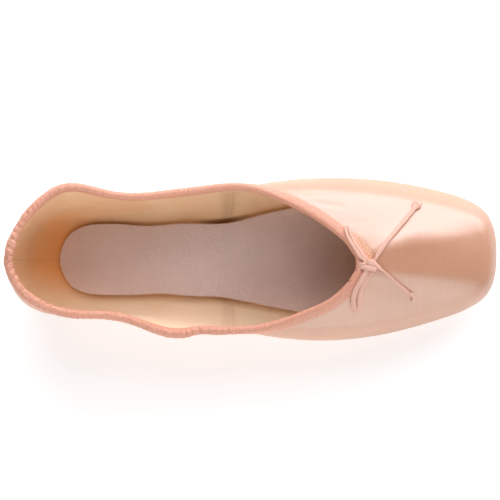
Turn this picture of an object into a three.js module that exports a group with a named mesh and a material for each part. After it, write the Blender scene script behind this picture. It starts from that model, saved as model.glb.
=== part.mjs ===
// A pointe shoe, empty and unworn, standing on its sole. Millimetres, +Z up.
// +X runs from heel to toe and +Y to the wearer's left. The origin is on the floor,
// under the middle of the shoe. It is made on a straight last, for either foot.
//
// Every piece follows one family of ribs. A rib is the line that the satin takes from under
// the sole, out round the bottom corner, up the side and over to the collar. The ribs
// start at the middle of the heel, pass along the left side to the middle of the toe, and
// come back along the right side.

import * as THREE from 'three';

// Driving dimensions.
const LENGTH = 230; // from the back of the slack heel to the flat of the toe
const BALL_WIDTH = 76.4; // widest, over the satin
const HEEL_HEIGHT = 52; // floor to the top of the binding at the heel
const QUARTER_WALL = 1.4; // satin and cotton lining
const BOX_WALL = 2.8; // satin over the hardened layers of the box
const TOE_SWING = 2.5; // the toe lies this far to the left of the middle of the heel
const OUTSOLE_THICKNESS = 2.4;
const INSOLE_THICKNESS = 2.4; // sock on its board
const ARCH_LIFT = 1.8; // rise of the sole under the waist
const TOE_SPRING = 2.6; // rise of the sole line under the toe
const GAP = 0.3; // clearance between pieces that meet

// The collar binding, folded over the edge, with the drawstring inside.
const BINDING_DEPTH = 3.8; // how far each leaf reaches down from the edge
const BINDING_LEAF = 0.7; // thickness of a leaf
const BINDING_ROLL = 0.75; // height of the fold over the edge, as a share of its half width

// The outsole is set back from the bottom corner of the upper.
const SOLE_BACK_HEEL = 2;
const SOLE_BACK_TOE = 14;
const SOLE_BEVEL = 0.5;
const LAP_BACK_HEEL = 7; // the upper's turned edge reaches this far over the outsole
const LAP_BACK_TOE = 8;
const LAP_WIDTH_SHARE = 0.76; // width of the opening in the turned edge, to the outsole's
const STEP_CLEARANCE = 0.8; // between the turned edge and the step under the insole
const INSOLE_MARGIN = 2.3; // from the upper's bottom corner to the edge of the sock
const INSOLE_BEVEL = 0.4;

// The drawstring, tied in a bow in front of the throat.
const CORD_DIAMETER = 1.8;
const CORD_SIDES = 8;
const CORD_STEP = 1.8; // along a cord between two rings
const CORD_GAP = 0.45; // clearance between a cord and what it rests on
const REST_CIRCLES = [0.3, 0.5, 0.7, 0.85, 0.97]; // what a cord rests on is felt for at these shares
const KNOT_AHEAD = 6.2; // from the tip of the throat to the middle of the knot
const KNOT_LEFT = 0.2;
const KNOT_RADIUS = 2.1;
const KNOT_TURN = 1.7; // width of one turn of the cord round the knot
const KNOT_FLATNESS = 0.8; // height of the knot as a share of its length

// One row for each rib of the left half, from the middle of the heel to the middle of the
// toe. Columns that end in At are shares of LENGTH from the heel, those that end in Half
// are shares of half the BALL_WIDTH, and those that end in High are shares of HEEL_HEIGHT.
//   base    bottom corner of the upper, where it turns under
//   sole    edge of the outsole, which is set back from the base at both ends
//   girth   widest part of the side
//   knee    where the side turns over to the collar, as a share of the way in to the edge
//   edge    cut edge of the upper inside the binding; the collar is slack, so its left
//           and right halves differ
const RIB_COLUMNS = [
  'baseAt', 'baseHalf', 'soleHalf', 'girthAt', 'girthHalf', 'girthHigh', 'kneeIn', 'kneeHigh',
  'edgeAt', 'edgeHalfLeft', 'edgeHalfRight', 'edgeHigh',
];
const RIBS = [
  [0.085, 0.000, 0.000, 0.026, 0.000, 0.37, 0.50, 0.66, 0.0040, 0.030, -0.030, 0.967],
  [0.106, 0.335, 0.275, 0.054, 0.480, 0.37, 0.55, 0.655, 0.030, 0.445, 0.325, 0.952],
  [0.134, 0.452, 0.365, 0.096, 0.635, 0.365, 0.58, 0.64, 0.068, 0.705, 0.512, 0.921],
  [0.165, 0.500, 0.405, 0.148, 0.705, 0.36, 0.60, 0.62, 0.122, 0.885, 0.645, 0.880],
  [0.243, 0.508, 0.395, 0.239, 0.722, 0.34, 0.55, 0.56, 0.222, 0.802, 0.703, 0.770],
  [0.348, 0.515, 0.360, 0.348, 0.770, 0.32, 0.42, 0.50, 0.339, 0.836, 0.900, 0.675],
  [0.452, 0.558, 0.390, 0.452, 0.868, 0.32, 0.36, 0.49, 0.443, 0.892, 0.888, 0.648],
  [0.548, 0.670, 0.520, 0.552, 0.972, 0.34, 0.24, 0.53, 0.522, 0.826, 0.843, 0.680],
  [0.652, 0.770, 0.635, 0.652, 1.000, 0.35, 0.17, 0.60, 0.600, 0.616, 0.668, 0.750],
  [0.757, 0.765, 0.640, 0.757, 0.948, 0.34, 0.14, 0.585, 0.654, 0.408, 0.522, 0.815],
  [0.852, 0.674, 0.550, 0.861, 0.814, 0.32, 0.11, 0.555, 0.690, 0.222, 0.322, 0.860],
  [0.926, 0.560, 0.425, 0.937, 0.676, 0.30, 0.075, 0.53, 0.703, 0.099, 0.210, 0.878],
  [0.959, 0.415, 0.300, 0.980, 0.515, 0.29, 0.042, 0.555, 0.709, 0.048, 0.151, 0.886],
  [0.973, 0.220, 0.160, 0.996, 0.300, 0.29, 0.022, 0.595, 0.7105, 0.000, 0.109, 0.890],
  [0.976, 0.000, 0.000, 1.000, 0.000, 0.29, 0.020, 0.60, 0.711, -0.061, 0.061, 0.892],
].map((row) => Object.fromEntries(RIB_COLUMNS.map((name, i) => [name, row[i]])));

// Places where the slack side bellies out, from the girth up to the knee. Round is the share of the way
// round the shoe from the heel (0), by the left side and the toe (0.5), to the heel (1).
const BELLY_COLUMNS = ['round', 'spread', 'out'];
const BELLIES = [
  [0.975, 0.080, 5.2],
].map((row) => Object.fromEntries(BELLY_COLUMNS.map((name, i) => [name, row[i]])));

// Routes of the cords of the bow, measured from the tip of the throat: how far ahead of it
// and how far to its left. Each cord lies on what is under it.
const CORD_COLUMNS = ['ahead', 'left'];
const CORDS = {
  drawstring_loop_left: [
    [3.9, 1.6], [0.3, 5.1], [-2.9, 9.7], [-5.4, 14.5], [-5.9, 16.9], [-4.3, 17.3],
    [-3.7, 15.6], [-1.2, 11.0], [2.0, 6.6], [5.3, 3.1],
  ],
  drawstring_loop_right: [
    [3.9, -1.9], [0.6, -7.1], [-1.5, -11.7], [-2.6, -16.8], [-2.4, -20.4], [-1.1, -21.8],
    [0.2, -20.2], [0.7, -16.8], [1.9, -12.0], [3.5, -7.2], [6.0, -2.7],
  ],
  drawstring_end_left: [[8.0, 2.2], [12.8, 7.9], [17.4, 13.4], [22.0, 19.6], [26.6, 26.1]],
  drawstring_end_right: [[8.6, -1.2], [13.7, -5.3], [18.7, -9.7], [24.1, -14.5]],
};

// Grid of the upper: ribs between two rows of the table, and steps along each rib.
const RIBS_PER_ROW = 3;
const CORNER_STEPS = 5; // round the bottom corner, base to girth
const WALL_STEPS = 10; // girth to the lower edge of the binding
const WALL_STEP_GROWTH = 1.5; // steps are finer near the girth, for the edge of the toe

// Shape of a rib above the girth.
const RISE_SHARE = 0.45; // part of the way from girth to knee that is straight
const PLATFORM_RISE_SHARE = 0.62; // the same at the flat of the toe
const PLATFORM_START = 0.9; // place along the length where the flat of the toe takes over
const KNEE_REACH = 0.8; // the knee's rounding ends at most this far towards the crown
const CROWN_RISE = 0.04; // doming of the vamp, as a share of the plan length it spans

// Places along the length where the sole line leaves and meets the floor.
const HEEL_FLAT_END = 0.25;
const BALL_FLAT_START = 0.53;
const BALL_FLAT_END = 0.79;
// Places along the length where the wall grows to the thickness of the box.
const BOX_START = 0.56;
const BOX_FULL = 0.74;
const BOX_TAPER = 14; // the wall thins again over this length next to the collar
const SWING_START = 0.62; // place along the length where the toe begins to swing

const HALF = BALL_WIDTH / 2;
const alongX = (share) => (share - 0.5) * LENGTH;
const clamp01 = (t) => Math.min(1, Math.max(0, t));
const smooth = (t) => clamp01(t) ** 2 * (3 - 2 * clamp01(t));

// Height of the sole's under side above the floor at a place along the length.
function soleLine(x) {
  const at = x / LENGTH + 0.5;
  const waist = clamp01((at - HEEL_FLAT_END) / (BALL_FLAT_START - HEEL_FLAT_END));
  const toe = clamp01((at - BALL_FLAT_END) / (1 - BALL_FLAT_END));
  return ARCH_LIFT * Math.sin(Math.PI * waist) ** 2 + TOE_SPRING * toe ** 2;
}

// How far the middle line lies to the left at a place along the length.
const swingAt = (x) => TOE_SWING * smooth((x / LENGTH + 0.5 - SWING_START) / (1 - SWING_START));

const UPPER_BOTTOM = OUTSOLE_THICKNESS + GAP;
const SOCK_BOTTOM = UPPER_BOTTOM + QUARTER_WALL + GAP;
const SOCK_TOP = SOCK_BOTTOM + INSOLE_THICKNESS;

// The four lines that all ribs cross, as closed curves through the rows of the table.
function lineThrough(pointOf) {
  const left = RIBS.map((row) => pointOf(row, 1));
  const right = RIBS.slice(1, -1).reverse().map((row) => pointOf(row, -1));
  return new THREE.CatmullRomCurve3([...left, ...right], true, 'centripetal');
}

const baseLine = lineThrough((row, side) => {
  const x = alongX(row.baseAt);
  return new THREE.Vector3(x, side * row.baseHalf * HALF + swingAt(x), UPPER_BOTTOM + soleLine(x));
});
const girthLine = lineThrough((row, side) => {
  const x = alongX(row.girthAt);
  return new THREE.Vector3(x, side * row.girthHalf * HALF + swingAt(x), row.girthHigh * HEEL_HEIGHT);
});
const edgeLine = lineThrough((row, side) => new THREE.Vector3(
  alongX(row.edgeAt),
  side * (side > 0 ? row.edgeHalfLeft : row.edgeHalfRight) * HALF,
  row.edgeHigh * HEEL_HEIGHT));
const kneeShareLine = lineThrough((row) => new THREE.Vector3(
  row.kneeIn, 0, row.kneeHigh * HEEL_HEIGHT));

const RIB_COUNT = 2 * (RIBS.length - 1) * RIBS_PER_ROW;
const HALF_COUNT = RIB_COUNT / 2;
const ribPlaces = Array.from({ length: RIB_COUNT }, (_, i) => i / RIB_COUNT);

// A place of the bottom corner, moved in from both ends of the sole.
function drawnIn(x, backHeel, backToe) {
  const heel = alongX(RIBS[0].baseAt);
  const toe = alongX(RIBS[RIBS.length - 1].baseAt);
  return heel + backHeel + ((x - heel) / (toe - heel)) * (toe - heel - backHeel - backToe);
}
const soleEdge = lineThrough((row, side) => {
  const x = drawnIn(alongX(row.baseAt), SOLE_BACK_HEEL, SOLE_BACK_TOE);
  return new THREE.Vector3(x, side * row.soleHalf * HALF + swingAt(x), 0);
});

// A point of the outsole's edge, drawn in further and narrowed, at a height over the sole line.
function solePoint(place, backHeel, backToe, widthShare, lift) {
  const point = soleEdge.getPoint(place);
  const x = drawnIn(point.x, backHeel, backToe);
  const y = (point.y - swingAt(point.x)) * widthShare + swingAt(x);
  return new THREE.Vector3(x, y, lift + soleLine(x));
}

// How far and which way the bellies push a rib out, level with the floor.
function bellyAt(place) {
  const along = girthLine.getTangent(place);
  const out = new THREE.Vector3(-along.y, along.x, 0).normalize();
  const far = BELLIES.map((belly) => {
    const away = Math.abs(((place - belly.round + 1.5) % 1) - 0.5);
    return belly.out * smooth(1 - away / belly.spread);
  });
  return out.multiplyScalar(far.reduce((sum, one) => sum + one, 0));
}

// The outer line of one rib as a list of points, from the turned edge to the collar.
// The last three lie under the binding: at its depth, at half of it, and at the cut edge.
function ribPoints(place) {
  const base = baseLine.getPoint(place);
  base.z = UPPER_BOTTOM + soleLine(base.x);
  const turned = solePoint(place, LAP_BACK_HEEL, LAP_BACK_TOE, LAP_WIDTH_SHARE, UPPER_BOTTOM);
  const belly = bellyAt(place);
  const girth = girthLine.getPoint(place);
  const edge = edgeLine.getPoint(place);
  const kneeShare = kneeShareLine.getPoint(place);
  const knee = girth.clone().lerp(edge, kneeShare.x).setZ(kneeShare.z).add(belly);
  girth.add(belly);
  const reach = Math.hypot(edge.x - knee.x, edge.y - knee.y);
  const crown = knee.clone().lerp(edge, 0.5);
  crown.z += CROWN_RISE * reach;

  const bend = girth.clone().sub(knee).multiplyScalar((girth.z - base.z) / (knee.z - girth.z));
  const corner = new THREE.QuadraticBezierCurve3(base, girth.clone().add(bend), girth);
  const atToe = smooth((girth.x / LENGTH + 0.5 - PLATFORM_START) / (1 - PLATFORM_START));
  const riseShare = RISE_SHARE + (PLATFORM_RISE_SHARE - RISE_SHARE) * atToe;
  const riseEnd = girth.clone().lerp(knee, riseShare);
  const kneeEnd = knee.clone().lerp(
    crown, Math.min(KNEE_REACH, riseEnd.distanceTo(knee) / knee.distanceTo(crown)));
  const wall = new THREE.CurvePath();
  wall.add(new THREE.LineCurve3(girth, riseEnd));
  wall.add(new THREE.QuadraticBezierCurve3(riseEnd, knee, kneeEnd));
  wall.add(new THREE.QuadraticBezierCurve3(kneeEnd, crown, edge));

  const length = wall.getLength();
  const open = 1 - BINDING_DEPTH / length;
  const points = [turned];
  for (let i = 0; i < CORNER_STEPS; i++) points.push(corner.getPoint(i / CORNER_STEPS));
  for (let i = 0; i <= WALL_STEPS; i++)
    points.push(wall.getPointAt(open * (i / WALL_STEPS) ** WALL_STEP_GROWTH));
  points.push(wall.getPointAt(1 - BINDING_DEPTH / 2 / length), edge);
  return points;
}

const outer = ribPlaces.map(ribPoints); // outer[rib][step]
const STEPS = outer[0].length;
const EDGE = STEPS - 1;

// Outward direction of the upper's face at a rib and a step.
function facing(i, k) {
  const next = outer[(i + 1) % RIB_COUNT][k];
  const last = outer[(i + RIB_COUNT - 1) % RIB_COUNT][k];
  const up = outer[i][Math.min(k + 1, EDGE)];
  const down = outer[i][Math.max(k - 1, 0)];
  return up.clone().sub(down).cross(next.clone().sub(last)).normalize();
}
const normals = outer.map((rib, i) => rib.map((_, k) => facing(i, k)));

// A point on a rib moved out (or, where negative, in) along its face.
const off = (i, k, distance) => outer[i][k].clone().addScaledVector(normals[i][k], distance);

// The wall is that of the quarters at the heel, under the sole and next to the collar,
// and that of the box elsewhere in front of the ball.
function wallAt(i, k) {
  const at = outer[i][k].x / LENGTH + 0.5;
  const inBox = smooth((at - BOX_START) / (BOX_FULL - BOX_START));
  const below = smooth((outer[i][k].distanceTo(outer[i][EDGE]) - BINDING_DEPTH) / BOX_TAPER);
  const above = smooth((k - 1) / (CORNER_STEPS - 1));
  return QUARTER_WALL + (BOX_WALL - QUARTER_WALL) * inBox * below * above;
}

// Solids are made of rings: each ring has one point for each rib.
const ringOf = (pointAt) => ribPlaces.map((_, i) => pointAt(i));

// A closed surface from rings in order. Without caps, the last ring joins the first. Each
// quad is split along its shorter diagonal, so that faces a gap apart are split alike.
function solidFromRings(rings, capped) {
  const count = rings[0].length;
  const points = rings.flat();
  const position = points.flatMap((p) => [p.x, p.y, p.z]);
  const index = [];
  const bands = capped ? rings.length - 1 : rings.length;
  for (let r = 0; r < bands; r++) {
    const above = ((r + 1) % rings.length) * count;
    for (let i = 0; i < count; i++) {
      const a = r * count + i;
      const b = r * count + ((i + 1) % count);
      const c = above + ((i + 1) % count);
      const d = above + i;
      const turned = points[a].distanceTo(points[c]) < points[b].distanceTo(points[d]);
      index.push(...(turned ? [a, d, c, a, c, b] : [a, d, b, b, d, c]));
    }
  }
  if (capped) {
    const top = (rings.length - 1) * count;
    // Left and right ribs of one row face each other, so strips across close each end.
    for (let i = 0; i < count / 2; i++) {
      const left = [i, i + 1];
      const right = [(count - i) % count, count - i - 1];
      const strip = [[left[0], left[1], right[1]], [left[0], right[1], right[0]]];
      for (const [a, b, c] of strip) {
        if (a === b || b === c || a === c) continue;
        index.push(a, b, c);
        index.push(top + a, top + c, top + b);
      }
    }
  }
  const geometry = new THREE.BufferGeometry();
  geometry.setAttribute('position', new THREE.Float32BufferAttribute(position, 3));
  geometry.setIndex(index);
  geometry.computeVertexNormals();
  return geometry;
}

// The upper: one hollow wall, open at the collar and, for the sole, underneath.
function upperGeometry() {
  const outside = [];
  const inside = [];
  for (let k = 0; k <= EDGE; k++) {
    outside.push(ringOf((i) => outer[i][k]));
    inside.unshift(ringOf((i) => off(i, k, -wallAt(i, k))));
  }
  return solidFromRings([...outside, ...inside], false);
}

// The binding: a folded strip with an outer leaf, a roll over the edge and an inner leaf.
function bindingGeometry() {
  const out = GAP;
  const into = -QUARTER_WALL - GAP;
  const middle = (out + into) / 2;
  const rollHalf = (out - into) / 2 + BINDING_LEAF;
  const under = [EDGE - 2, EDGE - 1, EDGE];
  const leaf = (distance, steps) => steps.map((k) => ringOf((i) => off(i, k, distance)));
  // Points past the cut edge: how far square to the edge, and how far out from the face.
  const past = (ahead, distance) => ringOf((i) => {
    const next = outer[(i + 1) % RIB_COUNT][EDGE];
    const last = outer[(i + RIB_COUNT - 1) % RIB_COUNT][EDGE];
    const square = next.clone().sub(last).cross(normals[i][EDGE]).normalize();
    return off(i, EDGE, distance).addScaledVector(square, ahead);
  });
  const roll = [50, 0, -50].map((degrees) => {
    const angle = (degrees * Math.PI) / 180;
    return past(rollHalf * BINDING_ROLL * Math.cos(angle), middle + rollHalf * Math.sin(angle));
  });
  return solidFromRings([
    ...leaf(out + BINDING_LEAF, under),
    ...roll,
    ...leaf(into - BINDING_LEAF, [...under].reverse()),
    ...leaf(into, under),
    past(GAP, into),
    past(GAP, out),
    ...leaf(out, [...under].reverse()),
  ], false);
}

// The outsole: leather of even thickness, flat at heel and ball, drawn in from the upper.
function outsoleGeometry() {
  const outline = (lift, inset) => ringOf((i) => solePoint(
    ribPlaces[i], inset, inset, 1 - (2 * inset) / BALL_WIDTH, lift));
  return solidFromRings([
    outline(0, SOLE_BEVEL),
    outline(SOLE_BEVEL, 0),
    outline(OUTSOLE_THICKNESS, 0),
  ], true);
}

// The insole: the sock and its board, with a step that fills the opening in the upper.
function insoleGeometry() {
  const inward = ribPlaces.map((place, i) => {
    const along = outer[(i + 1) % RIB_COUNT][1].clone().sub(
      outer[(i + RIB_COUNT - 1) % RIB_COUNT][1]).setZ(0).normalize();
    return new THREE.Vector3(along.y, -along.x, 0);
  });
  const sock = (lift, margin) => ringOf((i) => {
    const point = outer[i][1].clone().addScaledVector(inward[i], margin);
    return point.setZ(lift + soleLine(point.x));
  });
  const stepShare = LAP_WIDTH_SHARE - (3 * STEP_CLEARANCE) / BALL_WIDTH;
  const step = (lift) => ringOf((i) => solePoint(
    ribPlaces[i], LAP_BACK_HEEL + STEP_CLEARANCE, LAP_BACK_TOE + STEP_CLEARANCE, stepShare, lift));
  return solidFromRings([
    step(UPPER_BOTTOM),
    step(SOCK_BOTTOM),
    sock(SOCK_BOTTOM, INSOLE_MARGIN),
    sock(SOCK_TOP - INSOLE_BEVEL, INSOLE_MARGIN),
    sock(SOCK_TOP, INSOLE_MARGIN + INSOLE_BEVEL),
  ], true);
}

const upper = upperGeometry();
const binding = bindingGeometry();

// Height of the highest face of the upper or the binding over a place on the floor.
function heightOver(x, y) {
  let height = 0;
  for (const geometry of [upper, binding]) {
    const { position } = geometry.attributes;
    const index = geometry.index.array;
    for (let t = 0; t < index.length; t += 3) {
      const [a, b, c] = [0, 1, 2].map((n) => new THREE.Vector3().fromBufferAttribute(position, index[t + n]));
      const area = (b.x - a.x) * (c.y - a.y) - (b.y - a.y) * (c.x - a.x);
      if (area <= 0) continue;
      const u = ((x - a.x) * (c.y - a.y) - (y - a.y) * (c.x - a.x)) / area;
      const v = ((b.x - a.x) * (y - a.y) - (b.y - a.y) * (x - a.x)) / area;
      if (u < 0 || v < 0 || u + v > 1) continue;
      height = Math.max(height, a.z + u * (b.z - a.z) + v * (c.z - a.z));
    }
  }
  return height;
}

// A ball of this radius that rests over a place has its middle at this height. It is felt
// for under its middle and at points in circles round it, where it is already curving up.
function restingHeight(x, y, radius) {
  const ball = radius + CORD_GAP;
  const heights = [heightOver(x, y) + ball];
  for (const reach of REST_CIRCLES) {
    for (let i = 0; i < 12; i++) {
      const dx = reach * ball * Math.cos((i * Math.PI) / 6);
      const dy = reach * ball * Math.sin((i * Math.PI) / 6);
      heights.push(heightOver(x + dx, y + dy) + ball * Math.sqrt(1 - reach ** 2));
    }
  }
  return Math.max(...heights);
}

const throat = edgeLine.getPoint(0.5);

// A cord of the bow, along a smooth line through its route.
function cordGeometry(route) {
  const radius = CORD_DIAMETER / 2;
  const plan = new THREE.CatmullRomCurve3(route.map(([ahead, left]) => new THREE.Vector3(
    throat.x + ahead, throat.y + left, 0)), false, 'centripetal');
  const steps = Math.ceil(plan.getLength() / CORD_STEP);
  const laid = plan.getSpacedPoints(steps);
  for (const point of laid) point.z = restingHeight(point.x, point.y, radius);
  const path = new THREE.CatmullRomCurve3(laid, false, 'centripetal');
  const section = new THREE.Shape(Array.from({ length: CORD_SIDES }, (_, i) => {
    const angle = (2 * Math.PI * i) / CORD_SIDES;
    return new THREE.Vector2(radius * Math.cos(angle), radius * Math.sin(angle));
  }));
  return new THREE.ExtrudeGeometry(section, { steps, bevelEnabled: false, extrudePath: path });
}

// The knot: two turns of the cord, side by side, round the strands of the bow.
function knotGeometry() {
  const profile = [];
  const outline = [
    [0, -1.25], [0.55, -1.2], [0.88, -0.95], [1, -0.5], [0.86, 0], [1, 0.5], [0.88, 0.95],
    [0.55, 1.2], [0, 1.25],
  ];
  for (const [radius, along] of outline)
    profile.push(new THREE.Vector2(radius * KNOT_RADIUS, along * KNOT_TURN));
  const geometry = new THREE.LatheGeometry(profile, 12);
  geometry.scale(1, 1, KNOT_FLATNESS);
  const x = throat.x + KNOT_AHEAD;
  const y = throat.y + KNOT_LEFT;
  geometry.translate(x, y, restingHeight(x, y, KNOT_RADIUS * KNOT_FLATNESS));
  return geometry;
}

const satin = new THREE.MeshStandardMaterial({ color: 0xf0c4ac, roughness: 0.42, metalness: 0 });
const bindingCotton = new THREE.MeshStandardMaterial({ color: 0xeda98f, roughness: 0.85, metalness: 0 });
const soleLeather = new THREE.MeshStandardMaterial({ color: 0xb98a66, roughness: 0.75, metalness: 0 });
const sockCloth = new THREE.MeshStandardMaterial({ color: 0x9c8078, roughness: 0.9, metalness: 0 });

const cordCotton = new THREE.MeshStandardMaterial({ color: 0xf3c9b4, roughness: 0.9, metalness: 0 });

const shoe = new THREE.Group();
function add(name, geometry, material) {
  const mesh = new THREE.Mesh(geometry, material);
  mesh.name = name;
  shoe.add(mesh);
}

add('upper', upper, satin);
add('collar_binding', binding, bindingCotton);
add('outsole', outsoleGeometry(), soleLeather);
add('insole', insoleGeometry(), sockCloth);
add('drawstring_knot', knotGeometry(), cordCotton);
for (const [name, route] of Object.entries(CORDS)) add(name, cordGeometry(route), cordCotton);

export default shoe;
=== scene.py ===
"""The looks of a pointe shoe: satin, lining, gathered casing, sock, sole and the bow of its drawstring.

Sizes are in millimetres, as in the shoe's solids, and become metres where a mesh is made. +X runs from heel
to toe, +Y to the wearer's left and +Z up. A place is a share of the way round the shoe, from the middle of
the heel (0) by the left side and the toe (0.5) back to the heel (1). A rib is the line of the satin at one
place, from under the sole out round the bottom corner and up to the collar."""

import bmesh
import bpy
import numpy as np
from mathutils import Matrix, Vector
from mathutils.bvhtree import BVHTree


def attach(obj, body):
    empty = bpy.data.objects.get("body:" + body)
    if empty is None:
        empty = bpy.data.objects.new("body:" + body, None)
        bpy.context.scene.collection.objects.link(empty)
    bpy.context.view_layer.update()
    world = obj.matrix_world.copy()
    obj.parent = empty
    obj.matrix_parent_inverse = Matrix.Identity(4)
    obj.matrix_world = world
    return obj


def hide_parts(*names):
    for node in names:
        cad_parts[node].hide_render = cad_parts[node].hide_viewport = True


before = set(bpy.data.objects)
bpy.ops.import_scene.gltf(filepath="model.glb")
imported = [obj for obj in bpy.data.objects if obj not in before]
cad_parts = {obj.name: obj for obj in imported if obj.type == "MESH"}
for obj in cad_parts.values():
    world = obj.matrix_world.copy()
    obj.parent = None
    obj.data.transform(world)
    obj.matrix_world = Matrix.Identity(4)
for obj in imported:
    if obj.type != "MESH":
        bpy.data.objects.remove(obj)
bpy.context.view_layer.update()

MM = 0.001

# The shoe's own sizes.
LENGTH = 230
HALF = 38.2
HEEL_HEIGHT = 52
QUARTER_WALL = 1.4
BOX_WALL = 2.8
TOE_SWING = 2.5
SWING_START = 0.62
OUTSOLE_THICKNESS = 2.4
ARCH_LIFT = 1.8
TOE_SPRING = 2.6
GAP = 0.3
BINDING_DEPTH = 3.8
UPPER_BOTTOM = OUTSOLE_THICKNESS + GAP
SOCK_BOTTOM = UPPER_BOTTOM + QUARTER_WALL + GAP
SOCK_TOP = SOCK_BOTTOM + 2.4
SOLE_BACK_HEEL, SOLE_BACK_TOE = 2, 14
LAP_BACK_HEEL, LAP_BACK_TOE = 7, 8
LAP_WIDTH_SHARE = 0.76
HEEL_FLAT_END, BALL_FLAT_START, BALL_FLAT_END = 0.25, 0.53, 0.79
BOX_START, BOX_FULL = 0.56, 0.74
BOX_TAPER_TOP, BOX_TAPER_FOOT = 14, 18  # the box's wall grows over these lengths from the collar and the foot

# One row for each rib of the left half, from the middle of the heel to the middle of the toe. At is a share
# of LENGTH from the heel, Half a share of HALF, and High a share of HEEL_HEIGHT.
RIB_COLUMNS = ("base_at", "base_half", "sole_half", "girth_at", "girth_half", "girth_high", "knee_in",
               "knee_high", "edge_at", "edge_half_left", "edge_half_right", "edge_high")
RIBS = np.array([
    [0.085, 0.000, 0.000, 0.026, 0.000, 0.37, 0.50, 0.66, 0.0040, 0.030, -0.030, 0.967],
    [0.106, 0.335, 0.275, 0.054, 0.480, 0.37, 0.55, 0.655, 0.030, 0.445, 0.325, 0.952],
    [0.134, 0.452, 0.365, 0.096, 0.635, 0.365, 0.58, 0.64, 0.068, 0.705, 0.512, 0.921],
    [0.165, 0.500, 0.405, 0.148, 0.705, 0.36, 0.60, 0.62, 0.122, 0.885, 0.645, 0.880],
    [0.243, 0.508, 0.395, 0.239, 0.722, 0.34, 0.55, 0.56, 0.222, 0.802, 0.703, 0.770],
    [0.348, 0.515, 0.360, 0.348, 0.770, 0.32, 0.42, 0.50, 0.339, 0.836, 0.900, 0.675],
    [0.452, 0.558, 0.390, 0.452, 0.868, 0.32, 0.36, 0.49, 0.443, 0.892, 0.888, 0.648],
    [0.548, 0.670, 0.520, 0.552, 0.972, 0.34, 0.24, 0.53, 0.522, 0.826, 0.843, 0.680],
    [0.652, 0.770, 0.635, 0.652, 1.000, 0.35, 0.17, 0.60, 0.600, 0.616, 0.668, 0.750],
    [0.757, 0.765, 0.640, 0.757, 0.948, 0.34, 0.14, 0.585, 0.654, 0.408, 0.522, 0.815],
    [0.852, 0.674, 0.550, 0.861, 0.814, 0.32, 0.11, 0.555, 0.690, 0.222, 0.322, 0.860],
    [0.926, 0.560, 0.425, 0.937, 0.676, 0.30, 0.075, 0.53, 0.703, 0.099, 0.210, 0.878],
    [0.959, 0.415, 0.300, 0.980, 0.515, 0.29, 0.042, 0.555, 0.709, 0.048, 0.151, 0.886],
    [0.973, 0.220, 0.160, 0.996, 0.300, 0.29, 0.022, 0.595, 0.7105, 0.000, 0.109, 0.890],
    [0.976, 0.000, 0.000, 1.000, 0.000, 0.29, 0.020, 0.60, 0.711, -0.061, 0.061, 0.892],
])
# The heel's back hangs out below the collar: the place, spread and depth of that.
BELLY_PLACE, BELLY_SPREAD, BELLY_OUT = 0.975, 0.080, 5.2
# How much of a rib from girth to knee is straight, at the sides and on the toe's flat, how far the knee's
# curve reaches towards the crown, and how much the crown is domed.
RISE_SHARE, PLATFORM_RISE_SHARE, PLATFORM_START = 0.45, 0.62, 0.9
KNEE_REACH = 0.8
CROWN_RISE = 0.04

# How finely the pieces are made.
LINE_STEPS = 5600  # places kept of each line round the shoe
SATIN_RIBS = 640
OUTER_ROWS = 82
LINING_ROWS = 46
CASING_RIBS = 1500
ROWS_EASED = 0.2  # the lines round the shoe are eased over this share of a table row
RIB_STEPS = (8, 24, 10, 24, 30)  # points in each stretch of a rib
RIB_EASINGS = 7  # times that the corners of a rib are averaged
CORD_SIDES = 16


def smooth(t):
    """The S-curve from 0 to 1: three t squared less two t cubed."""
    t = np.clip(t, 0, 1)
    return t * t * (3 - 2 * t)


def bell(distance, width):
    """A bell of height 1: e to the minus square of the distance in widths."""
    return np.exp(-((distance / width) ** 2))


def unit(vectors):
    """Each vector divided by its length."""
    return vectors / np.maximum(np.linalg.norm(vectors, axis=-1, keepdims=True), 1e-12)


def along_x(share):
    """Distance ahead of the middle of the shoe, for a share of its length from the heel."""
    return (share - 0.5) * LENGTH


def sole_line(x):
    """Height of the sole's under side: a squared sine under the waist, a square rise under the toe."""
    at = x / LENGTH + 0.5
    waist = np.clip((at - HEEL_FLAT_END) / (BALL_FLAT_START - HEEL_FLAT_END), 0, 1)
    toe = np.clip((at - BALL_FLAT_END) / (1 - BALL_FLAT_END), 0, 1)
    return ARCH_LIFT * np.sin(np.pi * waist) ** 2 + TOE_SPRING * toe ** 2


def over_length(x, start, end):
    """The S-curve from 0 to 1 along the shoe, between two shares of its length."""
    return smooth((x / LENGTH + 0.5 - start) / (end - start))


def swing_at(x):
    """How far the middle line lies to the left."""
    return TOE_SWING * over_length(x, SWING_START, 1)


def curve_span(p0, p1, p2, p3, t):
    """Points from p1 (t = 0) to p2 (t = 1) on the centripetal Catmull-Rom curve through four knots: a cubic
    whose end slopes come from all four, timed by the root of their distances."""
    d0, d1, d2 = (np.sqrt(np.linalg.norm(b - a, axis=-1, keepdims=True))
                  for a, b in ((p0, p1), (p1, p2), (p2, p3)))
    start = ((p1 - p0) / d0 - (p2 - p0) / (d0 + d1) + (p2 - p1) / d1) * d1
    end = ((p2 - p1) / d1 - (p3 - p1) / (d1 + d2) + (p3 - p2) / d2) * d1
    return (p1 + start * t + (3 * (p2 - p1) - 2 * start - end) * t ** 2
            + (2 * (p1 - p2) + start + end) * t ** 3)


def closed_curve(knots, count):
    """Points of the closed curve through the knots, as many in every span."""
    spot = np.arange(count) * len(knots) / count
    first = np.floor(spot).astype(int)
    return curve_span(*(knots[(first + k) % len(knots)] for k in (-1, 0, 1, 2)), (spot - first)[:, None])


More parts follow.
